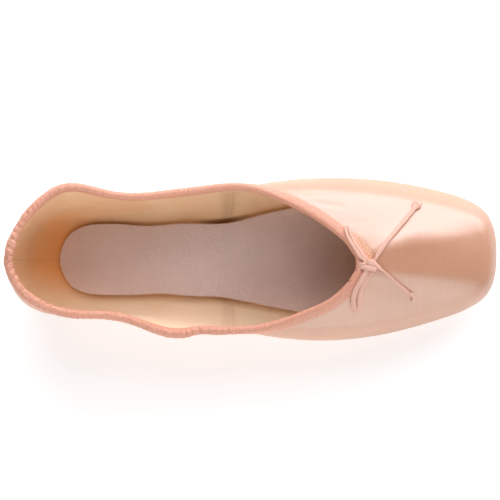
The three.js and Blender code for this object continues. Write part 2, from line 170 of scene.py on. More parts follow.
def eased_round(line):
    """A closed line with each of its waves weakened as a bell curve of ROWS_EASED table rows does."""
    rows = 2 * (len(RIBS) - 1)
    waves = np.fft.rfftfreq(len(line), 1 / len(line))
    kept = np.exp(-0.5 * (2 * np.pi * waves * ROWS_EASED / rows) ** 2)
    return np.fft.irfft(np.fft.rfft(line, axis=0) * kept[:, None], len(line), axis=0)


def line_through(point_of):
    """The closed line through one point for each row of the table, by the left side and back by the right."""
    left = np.column_stack(point_of(dict(zip(RIB_COLUMNS, RIBS.T)), 1))
    right = np.column_stack(point_of(dict(zip(RIB_COLUMNS, RIBS[-2:0:-1].T)), -1))
    return eased_round(closed_curve(np.vstack([left, right]), LINE_STEPS))


# Waves of the slack collar: the place of each, half its length round the collar, and how far out it goes.
WAVES = np.array([
    [0.107, 15, 0.9],
    [0.157, 13, -0.7],
    [0.229, 13, 1.1],
    [0.804, 6, -1.2],
    [0.826, 14, 1.5],
    [0.885, 12, 0.5],
    [0.945, 19, 1.4],
])


# Where the lines round the shoe pass on one side, for each row of the table.
def base_knots(row, side):
    x = along_x(row["base_at"])
    return x, side * row["base_half"] * HALF + swing_at(x), UPPER_BOTTOM + sole_line(x)


def girth_knots(row, side):
    x = along_x(row["girth_at"])
    return x, side * row["girth_half"] * HALF + swing_at(x), row["girth_high"] * HEEL_HEIGHT


def edge_knots(row, side):
    half = row["edge_half_left"] if side > 0 else row["edge_half_right"]
    return along_x(row["edge_at"]), side * half * HALF, row["edge_high"] * HEEL_HEIGHT


def knee_knots(row, side):
    return row["knee_in"], 0 * row["knee_in"], row["knee_high"] * HEEL_HEIGHT


def way_ahead(points, steps=1):
    """The way ahead round the shoe at each point, from that many points before it to as many past it."""
    return np.roll(points, -steps, axis=0) - np.roll(points, steps, axis=0)


def level_out(ahead):
    """Outward directions level with the floor: the way ahead round the shoe, turned a quarter to its left."""
    return unit(np.column_stack([-ahead[:, 1], ahead[:, 0], 0 * ahead[:, 0]]))


def lengths_along(lines):
    """Length reached at each point of each line."""
    steps = np.linalg.norm(np.diff(lines, axis=-2), axis=-1)
    return np.concatenate([np.zeros_like(steps[..., :1]), np.cumsum(steps, axis=-1)], axis=-1)


def lengths_round(line):
    """Length reached at each point of a closed line, and its whole length last."""
    return lengths_along(np.vstack([line, line[:1]]))


def run_at(reached, places):
    """Distance round the shoe at the places, on the line whose reached lengths are given."""
    return np.interp(places, np.arange(len(reached)) / LINE_STEPS, reached)


def waved(edge):
    """The collar's line moved out, level with the floor, by a bell for each wave."""
    reached = lengths_round(edge)
    out = level_out(way_ahead(edge, 8))
    far = sum(high * bell(reached[:-1] - run_at(reached, place), wide) for place, wide, high in WAVES)
    return edge + far[:, None] * out


def drawn_in(x, back_heel, back_toe):
    """A place of the bottom corner, moved in from both ends of the sole."""
    heel, toe = along_x(RIBS[0][0]), along_x(RIBS[-1][0])
    return heel + back_heel + (x - heel) / (toe - heel) * (toe - heel - back_heel - back_toe)


def sole_knots(row, side):
    x = drawn_in(along_x(row["base_at"]), SOLE_BACK_HEEL, SOLE_BACK_TOE)
    return x, side * row["sole_half"] * HALF + swing_at(x), 0 * x


BASE_LINE = line_through(base_knots)
GIRTH_LINE = line_through(girth_knots)
EDGE_LINE = waved(line_through(edge_knots))
KNEE_LINE = line_through(knee_knots)
SOLE_EDGE = line_through(sole_knots)


def read_round(line, places):
    """Points of a closed line at the places, straight between its stored points."""
    spot = np.mod(places, 1.0) * len(line)
    first = np.floor(spot).astype(int) % len(line)
    part = (spot - np.floor(spot))[:, None]
    return line[first] * (1 - part) + line[(first + 1) % len(line)] * part


def out_from(line, places, step):
    """Outward directions of a line, level with the floor, from the places a step before and past each."""
    return level_out(read_round(line, places + step) - read_round(line, places - step))


def places_apart(places, middle):
    """How far places are from one place, the shorter way round the shoe."""
    return np.abs(np.mod(places - middle + 0.5, 1) - 0.5)


def even_places(line, count):
    """Places at even distances along a closed line."""
    reached = lengths_round(line)
    return np.interp(np.arange(count) / count * reached[-1], reached, np.arange(len(reached)) / len(line))


def spaced_along(lines, distances, values=None):
    """Points (or the values stored there) at distances along each line, for all the lines at once."""
    values = lines if values is None else values
    reached = lengths_along(lines)
    apart = 2 * reached.max() * np.arange(len(lines))[:, None]
    wanted = np.clip(distances, 0, reached[:, -1:]) + apart
    known = (reached + apart).ravel()
    parts = [np.interp(wanted.ravel(), known, values[..., k].ravel()) for k in range(values.shape[-1])]
    return np.stack(parts, axis=-1).reshape(*wanted.shape, values.shape[-1])


def sole_points(places, back_heel, back_toe, width_share, lift):
    """The outsole's edge, drawn in further and narrowed, at a height over the sole line."""
    edge = read_round(SOLE_EDGE, places)
    x = drawn_in(edge[:, 0], back_heel, back_toe)
    y = (edge[:, 1] - swing_at(edge[:, 0])) * width_share + swing_at(x)
    return np.column_stack([x, y, lift + sole_line(x)])


def quadratic(a, b, c, count):
    """Points of quadratic Bezier curves, one for each row of a, b and c, their last point left out."""
    t = (np.arange(count) / count)[None, :, None]
    return a[:, None] * (1 - t) ** 2 + b[:, None] * 2 * t * (1 - t) + c[:, None] * t ** 2


def rib_lines(places):
    """The outer line of the rib at each place. A flat lap under the sole, a quarter round up to the girth, a
    straight rise, a rounded knee and a slightly domed crown up to the cut edge."""
    base = read_round(BASE_LINE, places)
    base[:, 2] = UPPER_BOTTOM + sole_line(base[:, 0])
    turned = sole_points(places, LAP_BACK_HEEL, LAP_BACK_TOE, LAP_WIDTH_SHARE, UPPER_BOTTOM)
    girth = read_round(GIRTH_LINE, places)
    edge = read_round(EDGE_LINE, places)
    knee_share = read_round(KNEE_LINE, places)

    hangs = smooth(1 - places_apart(places, BELLY_PLACE) / BELLY_SPREAD)
    belly = BELLY_OUT * hangs[:, None] * out_from(GIRTH_LINE, places, 0.001)
    knee = girth + (edge - girth) * knee_share[:, :1]
    knee[:, 2] = knee_share[:, 2]
    knee += belly
    girth = girth + belly
    crown = (knee + edge) / 2
    crown[:, 2] += CROWN_RISE * np.linalg.norm((edge - knee)[:, :2], axis=1)

    bend = (girth - knee) * ((girth[:, 2:] - base[:, 2:]) / (knee[:, 2:] - girth[:, 2:]))
    at_toe = over_length(girth[:, :1], PLATFORM_START, 1)
    rise_end = girth + (knee - girth) * (RISE_SHARE + (PLATFORM_RISE_SHARE - RISE_SHARE) * at_toe)
    before = np.linalg.norm(rise_end - knee, axis=1, keepdims=True)
    after = np.linalg.norm(knee - crown, axis=1, keepdims=True)
    knee_end = knee + (crown - knee) * np.minimum(KNEE_REACH, before / after)
    stretches = ((turned, (turned + base) / 2, base), (base, girth + bend, girth),
                 (girth, (girth + rise_end) / 2, rise_end), (rise_end, knee, knee_end),
                 (knee_end, crown, edge))
    lines = [quadratic(*ends, steps) for ends, steps in zip(stretches, RIB_STEPS)]
    return np.concatenate(lines + [edge[:, None]], axis=1)


def softened(rows, times):
    """Rows of points averaged with their neighbours along each rib, so many times, the ends kept."""
    rows = rows.copy()
    for _ in range(times):
        rows[:, 1:-1] = (rows[:, :-2] + 2 * rows[:, 1:-1] + rows[:, 2:]) / 4
    return rows


def outer_face(places):
    """The satin's smooth outer face: ribs with OUTER_ROWS points at even distances, their corners eased."""
    lines = rib_lines(places)
    total = lengths_along(lines)[:, -1:]
    return softened(spaced_along(lines, total * np.linspace(0, 1, OUTER_ROWS)), RIB_EASINGS)


def facing(points):
    """Outward directions of a grid of points that is closed round the shoe: the cross product of the way up
    the rib and the way round."""
    return unit(np.cross(np.gradient(points, axis=1), way_ahead(points)))


# --- Meshes ---

def grid_mesh(name, points, charts, row_finish=None, rows_close=True, ring_close=True):
    """A piece from a grid of points, [round, row], closed both ways unless told. Each chart, by the name of
    its UV map, gives every point its place on the cloth in millimetres; where the grid closes, a chart runs
    on to its end values."""
    count, rows = points.shape[:2]
    wide = count if ring_close else count - 1
    high = rows if rows_close else rows - 1
    i, k = (part.ravel() for part in np.meshgrid(np.arange(wide), np.arange(high), indexing="ij"))
    corners_i = np.stack([i, i + 1, i + 1, i], axis=1)
    corners_k = np.stack([k, k, k + 1, k + 1], axis=1)
    faces = (corners_i % count) * rows + corners_k % rows
    flat = points.reshape(-1, 3)
    p, q, r, s = (flat[faces[:, n]] for n in range(4))
    if (np.einsum("ij,ij->i", p, np.cross(q, r)) + np.einsum("ij,ij->i", p, np.cross(r, s))).sum() < 0:
        faces, corners_i, corners_k = faces[:, ::-1], corners_i[:, ::-1], corners_k[:, ::-1]

    mesh = bpy.data.meshes.new(name)
    mesh.vertices.add(len(flat))
    mesh.vertices.foreach_set("co", (flat * MM).ravel())
    mesh.loops.add(faces.size)
    mesh.loops.foreach_set("vertex_index", faces.ravel())
    mesh.polygons.add(len(faces))
    mesh.polygons.foreach_set("loop_start", np.arange(0, faces.size, 4))
    mesh.polygons.foreach_set("loop_total", np.full(len(faces), 4))
    if row_finish is not None:
        mesh.polygons.foreach_set("material_index", row_finish[k].astype(np.int32))
    for chart_name, chart in charts.items():
        layer = mesh.uv_layers.new(name=chart_name)
        layer.data.foreach_set("uv", (chart[corners_i, corners_k] * MM).reshape(-1, 2).ravel())
    mesh.update()
    mesh.validate()
    mesh.shade_smooth()
    piece = bpy.data.objects.new(name, mesh)
    bpy.context.scene.collection.objects.link(piece)
    return piece


def merged(piece, distance=1e-7):
    """The piece with points that lie on each other made one, so that poles and seams are closed."""
    work = bmesh.new()
    work.from_mesh(piece.data)
    bmesh.ops.remove_doubles(work, verts=work.verts, dist=distance)
    bmesh.ops.dissolve_degenerate(work, edges=work.edges, dist=distance)
    bmesh.ops.recalc_face_normals(work, faces=work.faces)
    work.to_mesh(piece.data)
    work.free()
    piece.data.shade_smooth()
    return piece


def chart_of(along, up):
    """A chart, [round + 1, row + 1, 2], from a distance for each rib and one for each rib and row."""
    up = np.pad(np.vstack([up, up[:1]]), ((0, 0), (0, 1)), mode="edge")
    return np.stack([np.broadcast_to(along[:, None], up.shape), up], axis=-1)


# --- The satin and its lining ---

SIDE_SEAM_PLACE = 0.2150  # where the vamp and the quarters are sewn together
RUN_ON_GIRTH = lengths_round(GIRTH_LINE)
RUN_ON_EDGE = lengths_round(EDGE_LINE)


def place_bell(places, middle, width):
    """A bell over the places round the shoe, without a seam at the heel."""
    return bell(places_apart(places, middle), width)


# The drawstring gathers the collar a little all round and more at three places, each with its spread and how
# much more.
LEAST_DRAWN = 0.12
MORE_DRAWN = ((0.985, 0.13, 0.88), (0.80, 0.07, 0.55), (0.17, 0.06, 0.20))


def drawn_up(places):
    """How strongly the collar is gathered: the least of it, and a bell more round each of the places."""
    return LEAST_DRAWN + sum(more * place_bell(places, middle, wide) for middle, wide, more in MORE_DRAWN)


# Soft creases of the satin. The two ends, each a place and a distance down from the cut edge, then the width
# and the depth of the trough.
CREASES = np.array([
    [0.030, 9, 0.052, 24, 2.6, 0.55],
    [0.058, 7, 0.085, 20, 2.2, 0.45],
    [0.100, 8, 0.120, 26, 3.0, 0.50],
    [0.150, 6, 0.172, 22, 2.4, 0.40],
    [0.205, 5, 0.196, 18, 2.0, 0.30],
    [0.268, 6, 0.300, 15, 1.7, 0.25],
    [0.285, 5, 0.322, 13, 1.5, 0.22],
    [0.330, 6, 0.352, 16, 1.8, 0.07],
    [0.955, 8, 0.925, 26, 2.8, 0.60],
    [0.905, 6, 0.880, 22, 2.4, 0.50],
    [0.862, 7, 0.842, 24, 2.8, 0.45],
    [0.815, 5, 0.800, 18, 2.2, 0.40],
    [0.742, 5, 0.716, 14, 1.8, 0.28],
    [0.712, 6, 0.688, 15, 1.6, 0.20],
])
PLEAT_PITCH = 3.1
PLEAT_DEPTH = 0.55
PLEAT_SPREAD = 0.085
BANK_SHARE, BANK_SPREAD = 0.4, 2.2  # the banks beside a crease: their height and width in its own
PUCKER_HEIGHT, PUCKER_FADE = 0.13, 6  # the ripples below the casing, and how far down they fade
LINING_CREASES, LINING_PUCKERS, LINING_RELIEF = 0.5, 0.45, 0.3  # shares of both in the lining, and the most


def creased(run, down):
    """Depth of the soft creases: along each line between its two ends a trough with lower banks, which
    fades out towards both ends as a half sine does."""
    depth = np.zeros_like(down)
    for place_a, down_a, place_b, down_b, width, deep in CREASES:
        a = np.array([run_at(RUN_ON_GIRTH, place_a), down_a])
        b = np.array([run_at(RUN_ON_GIRTH, place_b), down_b])
        spot = np.stack([np.broadcast_to(run[:, None], down.shape), down], axis=-1) - a
        t = np.clip(spot @ (b - a) / ((b - a) @ (b - a)), 0, 1)
        away = np.linalg.norm(spot - t[..., None] * (b - a), axis=-1)
        trough = bell(away, width) - BANK_SHARE * bell(away, BANK_SPREAD * width)
        depth += deep * np.sin(np.pi * np.clip(t, 0.04, 0.96)) * trough
    return depth


# Where the satin's turned edge has drawn back from the casing, on the left of the throat, canvas shows.
BARE_PLACE = 0.438
BARE_REACH = 17  # on both sides of that place, round the collar
BARE_WIDTH = 2.6
BARE_FROM = BINDING_DEPTH + 0.05
RIM_HEIGHT = 0.40


def bare_width(run):
    """Width of the bare strip: a bump with S-curved sides round its middle."""
    away = np.abs(run - run_at(RUN_ON_EDGE, BARE_PLACE)) / BARE_REACH
    return BARE_WIDTH * smooth(1 - away)


def rimmed(places, down):
    """Height of the satin's turned edge past the bare strip: a rounded step that flattens out."""
    width = bare_width(run_at(RUN_ON_EDGE, places))[:, None]
    past = down - BARE_FROM - width
    return RIM_HEIGHT * (width / BARE_WIDTH) * smooth((past + 0.5) / 0.7) * np.exp(-np.maximum(past, 0) / 3.5)


def puckered(places, down):
    """Small ripples below the casing, where the drawstring gathers the satin: waves round the collar that
    fade out down the side."""
    run = run_at(RUN_ON_EDGE, places)[:, None]
    waves = np.sin(run / 0.95 + 1.4 * np.sin(run / 6.3)) + 0.6 * np.sin(run / 1.73 + 0.12 * down + 1.1)
    fades = np.exp(-np.maximum(down - BINDING_DEPTH, 0) / PUCKER_FADE)
    return PUCKER_HEIGHT * drawn_up(places)[:, None] * waves * fades


def pleated(places, above_base):
    """Pleats where the satin is gathered under the toe: sharp folds that fan out from under the sole and
    fade out above the bottom corner."""
    base = read_round(BASE_LINE, places)
    run = lengths_along(base)[:, None]
    run = run - np.interp(0.5, places, run[:, 0])
    fold = 1 - np.abs(np.sin(np.pi * (run + 0.35 * np.sin(run / 2.3)) / PLEAT_PITCH)) ** 0.55
    near_toe = smooth(1.6 * (1 - places_apart(places, 0.5) / PLEAT_SPREAD))[:, None]
    fades = smooth((above_base + 13) / 4) * smooth(1 - above_base / 8)
    return PLEAT_DEPTH * near_toe * fades * fold


def wall_at(points, down, above_base):
    """Thickness of the wall: that of the quarters at the heel, under the sole and next to the collar, and
    that of the hardened box elsewhere ahead of the ball."""
    in_box = over_length(points[..., 0], BOX_START, BOX_FULL)
    below = smooth((down - BINDING_DEPTH) / BOX_TAPER_TOP)
    return QUARTER_WALL + (BOX_WALL - QUARTER_WALL) * in_box * below * smooth(above_base / BOX_TAPER_FOOT)


# The ridge on the vamp's left: its height and that of the hollow ahead of it, how far left it is at the
# throat and on the box, and its width.
SHOULDER_HIGH, SHOULDER_HOLLOW = 1.6, 0.5
SHOULDER_AT_THROAT, SHOULDER_LEFT = 4.5, 13
SHOULDER_WIDE = 7


def shouldered(points, normals, down):
    """Fullness of the vamp on its left: a rounded ridge beside the middle line from the throat to the box,
    and a slight hollow in its place next to the platform."""
    x, y = points[..., 0], points[..., 1]
    full = SHOULDER_HIGH * (1 - smooth((x - 70) / 24)) - SHOULDER_HOLLOW * smooth((x - 90) / 12)
    middle = SHOULDER_AT_THROAT + (SHOULDER_LEFT - SHOULDER_AT_THROAT) * smooth((x - 50) / 30)
    on_top = smooth((normals[..., 2] - 0.3) / 0.3) * smooth((down - 2) / 16) * smooth((x - 20) / 20)
    return full * bell(y - middle, SHOULDER_WIDE) * on_top


def make_upper():
    """The satin and its lining as one closed shell. The outer face is the smooth one moved along its normal
    by puckers, creases, pleats, the rim of the bare strip and the vamp's fullness. The lining is the smooth
    face moved in by the wall, with softer creases and puckers."""
    places = even_places(GIRTH_LINE, SATIN_RIBS)
    face = outer_face(places)
    normals = facing(face)
    up = lengths_along(face)
    lap = np.linalg.norm(read_round(BASE_LINE, places)[:, :2] - face[:, 0, :2], axis=1)[:, None]
    down = up[:, -1:] - up
    run = run_at(RUN_ON_GIRTH, places)
    relief = puckered(places, down) - creased(run, down) - pleated(places, up - lap)
    relief += rimmed(places, down) + shouldered(face, normals, down)
    relief *= smooth(down / 1.5)
    outside = face + relief[..., None] * normals

    distances = up[:, -1:] * np.linspace(1, 0, LINING_ROWS)
    inner = spaced_along(face, distances)
    inner_normals = unit(spaced_along(face, distances, normals))
    inner_down = up[:, -1:] - distances
    wall = wall_at(inner, inner_down, distances - lap)
    soft = LINING_PUCKERS * puckered(places, inner_down) - LINING_CREASES * creased(run, inner_down)
    soft *= smooth(inner_down / 6) * smooth((distances - lap) / 5)
    inside = inner + (np.clip(soft, -LINING_RELIEF, LINING_RELIEF) - wall)[..., None] * inner_normals

    points = np.concatenate([outside, inside], axis=1)
    finish = (np.arange(points.shape[1]) >= OUTER_ROWS - 1).astype(int)
    charts = {
        "cloth": chart_of(np.append(run, RUN_ON_GIRTH[-1]), np.concatenate([up, distances], axis=1) - lap),
        "collar": chart_of(np.append(run_at(RUN_ON_EDGE, places), RUN_ON_EDGE[-1]),
                           np.concatenate([down, inner_down], axis=1)),
    }
    return grid_mesh("satin_upper", points, charts, row_finish=finish)


# --- The gathered casing of the drawstring ---

# Its section, closed: up the satin's side, over the roll and down the lining's side, then back along the cut
# edge. Ahead is past the cut edge (below it where negative), out is from the face of the satin, and puff is
# the share of the gathers that the point takes.
ROLL_MIDDLE = -0.70
ROLL_HALF = 1.75
ROLL_HEIGHT = 1.30
ROLL_TURNS = np.radians(np.linspace(78, -78, 9))
CASING_SECTION = np.array(
    [(-3.85, 0.30, 0.08), (-3.80, 0.70, 0.12), (-3.45, 0.92, 0.20), (-2.7, 1.04, 0.30), (-1.9, 1.10, 0.40),
     (-1.1, 1.12, 0.48)]
    + [(ROLL_HEIGHT * np.cos(turn), ROLL_MIDDLE + ROLL_HALF * np.sin(turn), 0.75 - 0.25 * np.sin(turn))
       for turn in ROLL_TURNS]
    + [(-1.1, -2.46, 0.90), (-1.9, -2.44, 0.75), (-2.7, -2.38, 0.50), (-3.45, -2.28, 0.25),
       (-3.80, -2.10, 0.15), (-3.85, -1.72, 0.10), (-1.9, -1.66, 0.0), (0.28, -1.66, 0.0), (0.28, 0.26, 0.0),
       (-1.9, 0.26, 0.0)])
OUTER_POINT, INNER_POINT = 3, 17  # of the section: the gathers move away from the middle of these two
GATHER_PITCH = 3.3
GATHER_DEPTH = 1.0
THROAT_PITCH = 1.7
THROAT_DEPTH = 0.85
THROAT_FOLDS_PAST, THROAT_FOLDS_WIDE = 2.0, 5.5
THROAT_CREASE_PAST, THROAT_CREASE_DEPTH = 7.6, 0.6
HEEL_FULLNESS = 0.24  # how much fuller the casing's roll is where it is gathered most
SLACK_PLACE, SLACK_SPREAD, SLACK_FULLNESS = 0.945, 0.045, 0.12  # where it also hangs slack


def gathers(run, across, places):
    """Height of the casing's gathers. Rounded puffs with sharp valleys between them, uneven in length, height
    and slant, ride on longer swells, with fine wrinkles across the tape. At the throat, where the drawstring
    comes out, there are deep narrow folds that end at a sharp crease."""
    slant = 0.35 * np.sin(run / 17.0) + 0.25 * np.sin(run / 5.9 + 2)
    uneven = run + slant * across + 1.3 * np.sin(run / 6.1) + 0.7 * np.sin(run / 2.77 + 1.3)
    puffs = np.abs(np.sin(np.pi * uneven / GATHER_PITCH)) ** 0.6
    puffs = puffs * (0.70 + 0.30 * np.sin(run / 9.7 + 0.7) * np.sin(run / 4.3))
    swells = 0.30 * np.sin(run / 3.9 + 1.2 * np.sin(run / 11.3)) + 0.12 * np.sin(run / 1.35 + across)
    wrinkles = 0.11 * np.sin(run * 4.6 + 1.5 * np.sin(run / 1.9) + 0.8 * across)
    past = run - run_at(RUN_ON_EDGE, 0.5)
    at_throat = bell(past - THROAT_FOLDS_PAST, THROAT_FOLDS_WIDE)
    folds = np.abs(np.sin(np.pi * (past + 0.3 * across + 0.4 * np.sin(past / 1.1)) / THROAT_PITCH)) ** 0.7
    crease = bell(past - THROAT_CREASE_PAST - 0.3 * across, 0.35) * (past > 0)
    strength = drawn_up(places)[:, None]
    return (GATHER_DEPTH * strength * (puffs - 0.55 + swells + wrinkles) * (1 - at_throat)
            + THROAT_DEPTH * at_throat * (folds - 0.6) - THROAT_CREASE_DEPTH * crease)


def make_casing():
    """The casing: its section stood on the face beside the collar at each place, made fuller where the collar
    is gathered or slack, and moved out from the middle of the section by the gathers."""
    places = even_places(EDGE_LINE, CASING_RIBS)
    face = outer_face(places)
    normals = facing(face)
    past = unit(np.cross(unit(way_ahead(face[:, -1])), normals[:, -1]))
    past *= np.sign(np.einsum("ij,ij->i", past, face[:, -1] - face[:, -3]))[:, None]
    ahead, off, puff = CASING_SECTION.T
    whole = lengths_along(face)[:, -1:]
    distances = whole + np.minimum(ahead, 0)
    foot = spaced_along(face, distances)
    out = unit(spaced_along(face, distances, normals))
    fuller = HEEL_FULLNESS * (drawn_up(places) - LEAST_DRAWN)
    fuller += SLACK_FULLNESS * place_bell(places, SLACK_PLACE, SLACK_SPREAD)
    fuller = 1 + fuller[:, None] * puff
    stands = ROLL_MIDDLE + (off - ROLL_MIDDLE) * fuller
    points = foot + (np.maximum(ahead, 0) * fuller)[..., None] * past[:, None] + stands[..., None] * out

    loop = lengths_round(CASING_SECTION[:, :2])
    run = run_at(RUN_ON_EDGE, places)
    height = puff * gathers(run[:, None], loop[None, :-1], places)
    middle = (points[:, OUTER_POINT] + points[:, INNER_POINT])[:, None] / 2
    points = points + height[..., None] * unit(points - middle)
    chart = chart_of(np.append(run, RUN_ON_EDGE[-1]), np.broadcast_to(loop[:-1], height.shape))
    chart[:, -1, 1] = loop[-1]
    return grid_mesh("collar_casing", points, {"cloth": chart})


# --- The insole and the outsole ---

SOLE_RIBS = 480
STEP_BACK, STEP_IN = 0.8, 1.2  # the step under the sock stays clear of the turned edge, lengthways and across
# Where the lining stands off the sock and leaves a dark gap: the place of each, its width and its depth.
SOCK_GAPS = ((0.155, 0.016, 1.1), (0.210, 0.020, 1.5), (0.835, 0.012, 0.8), (0.795, 0.010, 0.5))
FILL_SHARES = (0.04, 0.10, 0.18, 0.28, 0.40, 0.54, 0.70, 0.86, 1.0)


def filled_in(ring, rise):
    """Rings from a ring in to its middle line, raised by a share of the way in as a dome is."""
    x = ring[:, 0]
    spread = 0.5 * np.ptp(ring[:, 1])
    middle_x = np.clip(x, x.min() + 0.7 * spread, x.max() - 0.7 * spread)
    middle = np.column_stack([middle_x, swing_at(middle_x), ring[:, 2] - sole_line(x) + sole_line(middle_x)])
    rings = []
    for share in FILL_SHARES:
        inner = ring + (middle - ring) * share
        inner[:, 2] += rise * (1 - (1 - share) ** 2)
        rings.append(inner)
    return rings


def ring_piece(name, rings):
    """A closed piece from rings in order, whose first and last rings have shrunk to a line."""
    points = np.stack(rings, axis=1)
    chart = np.concatenate([points, points[:1]])[..., :2]
    return merged(grid_mesh(name, points, {"cloth": chart}, rows_close=False), distance=2e-5)


def make_insole():
    """The sock on its board: rings from the step under it, out over its rounded edge, which draws back where
    the lining stands off it, and in over its slightly domed top."""
    places = np.arange(SOLE_RIBS) / SOLE_RIBS
    base = read_round(BASE_LINE, places)
    inward = -out_from(BASE_LINE, places, 0.002)
    gap = sum(deep * place_bell(places, middle, wide) for middle, wide, deep in SOCK_GAPS)[:, None]

    def sock(lift, margin):
        ring = base + (margin + gap) * inward
        ring[:, 2] = lift + sole_line(ring[:, 0])
        return ring

    share = LAP_WIDTH_SHARE - STEP_IN / HALF
    step = [sole_points(places, LAP_BACK_HEEL + STEP_BACK, LAP_BACK_TOE + STEP_BACK, share, lift)
            for lift in (UPPER_BOTTOM, SOCK_BOTTOM)]
    edge = [(SOCK_BOTTOM, 2.5), (SOCK_BOTTOM + 0.25, 2.3), (SOCK_TOP - 0.55, 2.3), (SOCK_TOP - 0.2, 2.38),
            (SOCK_TOP - 0.04, 2.62), (SOCK_TOP, 2.95)]
    rings = filled_in(step[0], 0)[::-1] + step + [sock(lift, margin) for lift, margin in edge]
    return ring_piece("sock_insole", rings + filled_in(rings[-1], 0.25))


def make_outsole():
    """The leather sole: an even thickness with a rounded lower edge and a softened upper one."""
    places = np.arange(SOLE_RIBS) / SOLE_RIBS

    def outline(lift, inset):
        return sole_points(places, inset, inset, 1 - inset / HALF, lift)

    edge = [(0.0, 0.75), (0.06, 0.42), (0.2, 0.2), (0.45, 0.05), (0.8, 0.0), (OUTSOLE_THICKNESS - 0.25, 0.0),
            (OUTSOLE_THICKNESS, 0.2)]
    rings = [outline(lift, inset) for lift, inset in edge]
    return ring_piece("leather_outsole", filled_in(rings[0], 0)[::-1] + rings + filled_in(rings[-1], 0))


# --- The drawstring and its bow ---

# Routes from the tip of the throat: how far ahead of it and how far to its left. Each cord comes out of the
# casing, makes its loop, passes back under the knot and runs to its cut end.
CORD_ROUTES = {
    "left": np.array([
        [-0.8, 0.4], [1.2, 0.2], [2.6, 0.8], [2.2, 2.2], [0.4, 3.7], [-1.6, 6.8], [-4.4, 11.4], [-6.1, 15.6],
        [-6.2, 17.2], [-5.2, 17.6], [-4.5, 16.0], [-2.8, 11.4], [0.1, 6.8], [2.3, 3.7], [4.6, 1.6],
        [6.7, 1.9], [9.5, 6.2], [13.2, 11.2], [20.2, 19.2], [25.6, 25.4], [28.0, 28.8]]),
    "right": np.array([
        [-0.6, -0.8], [1.2, -0.7], [3.0, -1.2], [3.3, -3.0], [2.4, -4.8], [0.8, -7.6], [-1.5, -11.7],
        [-2.4, -15.7], [-2.3, -19.2], [-1.1, -21.6], [0.1, -20.8], [0.6, -18.6], [0.6, -15.7], [1.3, -11.7],
        [3.1, -7.6], [4.9, -4.2], [6.2, -1.2], [7.8, -0.6], [10.4, -2.3], [16.6, -7.5], [23.7, -13.3],
        [25.3, -14.8], [25.4, -16.1], [24.8, -17.4]]),
}
KNOT_AHEAD = 4.9  # of the tip of the throat
SUNK_LENGTH = 2.4  # each cord rises out of the casing over this length
SUNK_DEPTH = 1.9
CORD_WIDTH = 2.0
CORD_THICKNESS = 1.2
CORD_STEP = 0.4
CORD_CLEAR = 0.08
EASE_STEPS = 6  # a cord's height and tilt are eased over so many steps on both sides
# The ends past the knot: how long each is, and over what length the loop's size passes into its own.
LEFT_END, LEFT_PASSES = 33, 3
RIGHT_END, RIGHT_PASSES = 24, 4
THROAT = read_round(EDGE_LINE, np.array([0.5]))[0]


def open_curve(knots, step):
    """Points about a step apart on the curve through the knots, whose ends run on straight."""
    knots = np.vstack([2 * knots[0] - knots[1], knots, 2 * knots[-1] - knots[-2]])
    t = (np.arange(24) / 24)[:, None]
    spans = [curve_span(*four, t) for four in zip(knots, knots[1:], knots[2:], knots[3:])]
    line = np.vstack(spans + [knots[-2:-1]])
    reached = lengths_along(line)
    even = np.linspace(0, reached[-1], int(np.ceil(reached[-1] / step)) + 1)
    return np.column_stack([np.interp(even, reached, column) for column in line.T])


def surface_of(*pieces):
    """Search trees of the pieces, for finding what lies under a point."""
    return [BVHTree.FromPolygons([v.co[:] for v in mesh.vertices], [p.vertices[:] for p in mesh.polygons])
            for mesh in (piece.data for piece in pieces)]


def height_over(trees, x, y):
    """Height of the highest face over a place on the floor, in millimetres."""
    found = [tree.ray_cast(Vector((x * MM, y * MM, 0.09)), Vector((0, 0, -1)))[0] for tree in trees]
    return max((spot.z / MM for spot in found if spot is not None), default=0.0)


def laid_on(trees, plan, half_width, half_thick, clear):
    """A route laid on the pieces: at each of its points the height and the tilt of what is under it, felt for
    in two circles, so that a flat cord of this size just clears it, both eased along the route. Returns
    points and upward directions."""
    turns = np.arange(12) * np.pi / 6
    feelers = np.vstack([[0, 0]] + [[[r * np.cos(a), r * np.sin(a)] for a in turns] for r in (0.5, 0.95)])
    feelers = feelers * half_width
    lift = half_thick * np.sqrt(1 - np.minimum(np.linalg.norm(feelers, axis=1) / half_width, 1) ** 2)
    points, ups = [], []
    for x, y in plan:
        heights = np.array([height_over(trees, x + dx, y + dy) for dx, dy in feelers])
        heights = np.maximum(heights, heights.max() - 1.2 * half_width)
        fit = np.linalg.lstsq(np.column_stack([feelers, np.ones(len(feelers))]), heights, rcond=None)[0]
        z = (heights - feelers @ fit[:2] + lift).max() + clear
        points.append([x, y, z])
        ups.append([-fit[0], -fit[1], 1])
    points, ups = np.array(points), np.array(ups)
    kernel = bell(np.arange(-EASE_STEPS, EASE_STEPS + 1), 3.5)
    kernel /= kernel.sum()

    def eased(values):
        return np.convolve(np.pad(values, EASE_STEPS, mode="edge"), kernel, mode="valid")

    wide = np.pad(points[:, 2], 2, mode="edge")
    highest = np.max([wide[k:k + len(points)] for k in range(5)], axis=0)
    points[:, 2] = np.maximum(points[:, 2], eased(highest))
    return points, unit(np.column_stack([eased(part) for part in ups.T]))


